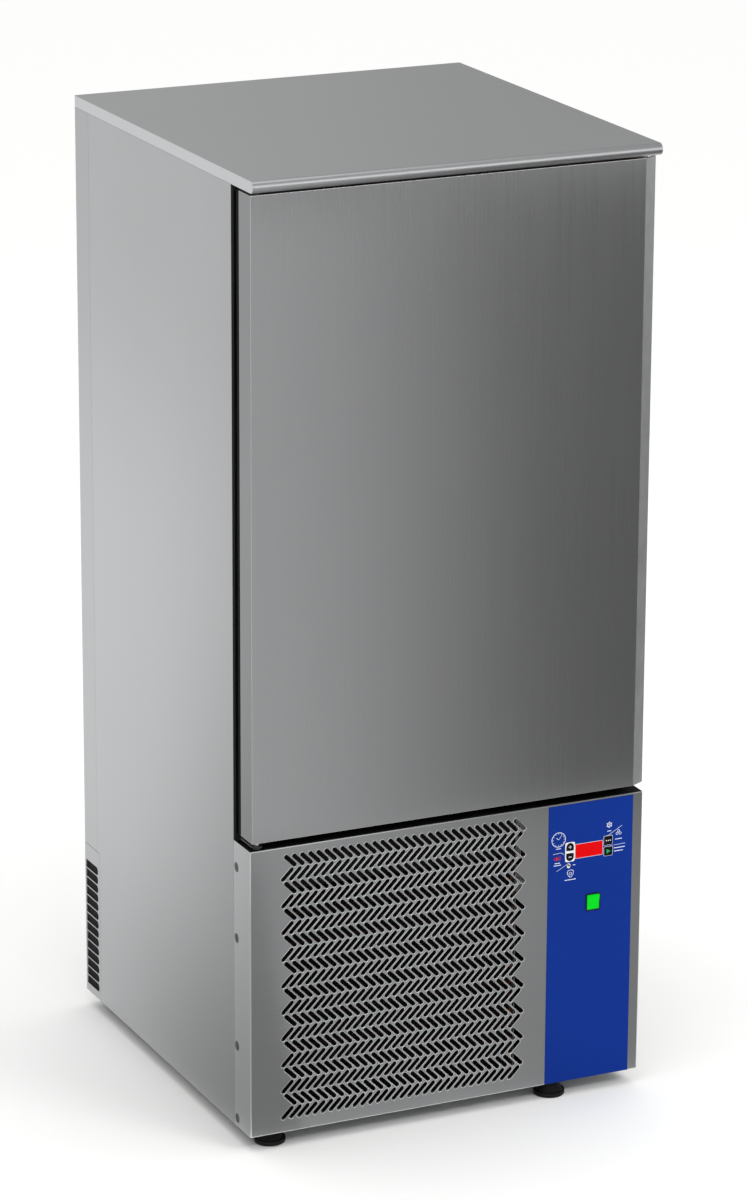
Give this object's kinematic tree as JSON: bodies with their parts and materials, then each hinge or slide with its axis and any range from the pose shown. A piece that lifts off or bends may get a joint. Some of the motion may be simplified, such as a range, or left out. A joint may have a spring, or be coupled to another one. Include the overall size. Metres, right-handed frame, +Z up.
{
  "type": "blast chiller",
  "caption": "Upright stainless blast chiller: one full-height hinged door, tray chamber with fans, herringbone condenser grille, control film with keys and rocker, levelling feet.",
  "frame": {"origin": "on the floor under the middle of the outline, between the worktop's front edge and the back panel", "axes": "+X to the right of a person who faces the door, +Y to the back (the door faces -Y), +Z up"},
  "size_m": [0.79, 0.82, 1.8],
  "materials": {
    "stainless_satin": "satin-brushed stainless steel sheet",
    "stainless_door": "finely brushed stainless steel door skin",
    "stainless_liner": "bright-annealed stainless steel chamber sheet",
    "handle_aluminium": "satin anodised aluminium extrusion",
    "galvanised": "galvanised sheet steel",
    "black_profile": "black rigid PVC profile",
    "gasket_rubber": "soft black magnetic gasket",
    "pu_foam": "rigid polyurethane foam",
    "core_board": "board core",
    "film_blue": "printed polycarbonate film, satin",
    "display_red": "red filter window",
    "key_white": "white key surround",
    "key_black": "black silicone keys",
    "switch_black": "black polyamide switch case",
    "switch_green": "green lit rocker",
    "electronics": "dark grey ABS housing",
    "box_grey": "grey powder coat",
    "coil_metal": "aluminium fins on copper tubes",
    "fan_black": "black fan plastic and coated wire",
    "motor_dark": "dark electric motor housing",
    "compressor_black": "black enamelled steel shell",
    "grommet_rubber": "black rubber",
    "copper": "soft copper tube",
    "brass_drier": "brass and copper drier",
    "drain_grey": "grey PVC pipe",
    "gland_black": "black polyamide gland",
    "hinge_steel": "black-coated steel",
    "bush_white": "white acetal bush",
    "foot_rubber": "black foot"
  },
  "bodies": {
    "cabinet": {"left_side_panel": "stainless_satin", "right_side_panel": "stainless_satin", "back_panel": "stainless_satin", "rear_vent_panel": "stainless_satin", "worktop_skin": "stainless_satin", "worktop_core": "core_board", "base_frame": "galvanised", "frame_posts": "galvanised", "insulation_base_panel": "galvanised", "chamber_liner": "stainless_liner", "cabinet_foam": "pu_foam", "front_frame": "black_profile", "rack_posts": "stainless_liner", "rack_runners": "stainless_liner", "evaporator_coil": "coil_metal", "evaporator_fan_panel": "stainless_liner", "evaporator_fan_guards": "fan_black", "evaporator_fan_motors": "motor_dark", "drain_pipe": "drain_grey", "mains_cable_gland": "gland_black", "probe_gland": "key_white", "lower_hinge_bracket": "hinge_steel", "upper_hinge_bracket": "hinge_steel", "front_grille_panel": "stainless_satin", "front_panel_fixings": "black_profile", "control_film": "film_blue", "display_window": "display_red", "key_plate": "key_white", "controller_box": "electronics", "switch_body": "switch_black", "condenser_coil": "coil_metal", "condenser_shroud": "galvanised", "condenser_fan_motor": "motor_dark", "compressor": "compressor_black", "compressor_grommets": "grommet_rubber", "liquid_receiver": "compressor_black", "filter_drier": "brass_drier", "refrigerant_pipes": "copper", "electrical_box": "box_grey", "door_switch": "key_white"},
    "door": {"door_outer_skin": "stainless_door", "door_handle_profile": "handle_aluminium", "door_foam": "pu_foam", "door_inner_liner": "stainless_liner", "door_frame": "black_profile", "door_gasket": "gasket_rubber", "door_hinge_bushes": "bush_white"},
    "evaporator_fan_1": {"evaporator_fan_1": "fan_black"},
    "evaporator_fan_2": {"evaporator_fan_2": "fan_black"},
    "evaporator_fan_3": {"evaporator_fan_3": "fan_black"},
    "condenser_fan": {"condenser_fan": "fan_black"},
    "key_up": {"key_up": "key_black"},
    "key_down": {"key_down": "key_black"},
    "key_set": {"key_set": "key_black"},
    "key_start": {"key_start": "key_black"},
    "power_rocker": {"power_rocker": "switch_green"},
    "foot_front_left": {"foot_front_left": "foot_rubber"},
    "foot_front_right": {"foot_front_right": "foot_rubber"},
    "foot_rear_left": {"foot_rear_left": "foot_rubber"},
    "foot_rear_right": {"foot_rear_right": "foot_rubber"}
  },
  "joints": [
    {"name": "door_hinge", "type": "hinge", "parent": "cabinet", "child": "door", "pos_m": [-0.38, -0.383, 1.1835], "axis": [0, 0, -1], "range_deg": [0, 110]},
    {"name": "evaporator_fan_1_spin", "type": "hinge", "parent": "cabinet", "child": "evaporator_fan_1", "pos_m": [0, 0.142, 0.8605], "axis": [0, -1, 0], "continuous": true},
    {"name": "evaporator_fan_2_spin", "type": "hinge", "parent": "cabinet", "child": "evaporator_fan_2", "pos_m": [0, 0.142, 1.1805], "axis": [0, -1, 0], "continuous": true},
    {"name": "evaporator_fan_3_spin", "type": "hinge", "parent": "cabinet", "child": "evaporator_fan_3", "pos_m": [0, 0.142, 1.5005], "axis": [0, -1, 0], "continuous": true},
    {"name": "condenser_fan_spin", "type": "hinge", "parent": "cabinet", "child": "condenser_fan", "pos_m": [-0.095, -0.2968, 0.2732], "axis": [0, 1, 0], "continuous": true},
    {"name": "key_up_press", "type": "slide", "parent": "cabinet", "child": "key_up", "axis": [0, 1, 0], "range_m": [0, 0.0006], "stiffness_N_per_m": 2500, "springref_m": -0.0002},
    {"name": "key_down_press", "type": "slide", "parent": "cabinet", "child": "key_down", "axis": [0, 1, 0], "range_m": [0, 0.0006], "stiffness_N_per_m": 2500, "springref_m": -0.0002},
    {"name": "key_set_press", "type": "slide", "parent": "cabinet", "child": "key_set", "axis": [0, 1, 0], "range_m": [0, 0.0006], "stiffness_N_per_m": 2500, "springref_m": -0.0002},
    {"name": "key_start_press", "type": "slide", "parent": "cabinet", "child": "key_start", "axis": [0, 1, 0], "range_m": [0, 0.0006], "stiffness_N_per_m": 2500, "springref_m": -0.0002},
    {"name": "power_rocker_tilt", "type": "hinge", "parent": "cabinet", "child": "power_rocker", "pos_m": [0.295, -0.3857, 0.38], "axis": [-1, 0, 0], "range_deg": [0, 14]},
    {"name": "foot_front_left_thread", "type": "slide", "parent": "cabinet", "child": "foot_front_left", "axis": [0, 0, -1], "range_m": [0, 0.015]},
    {"name": "foot_front_right_thread", "type": "slide", "parent": "cabinet", "child": "foot_front_right", "axis": [0, 0, -1], "range_m": [0, 0.015]},
    {"name": "foot_rear_left_thread", "type": "slide", "parent": "cabinet", "child": "foot_rear_left", "axis": [0, 0, -1], "range_m": [0, 0.015]},
    {"name": "foot_rear_right_thread", "type": "slide", "parent": "cabinet", "child": "foot_rear_right", "axis": [0, 0, -1], "range_m": [0, 0.015]}
  ]
}
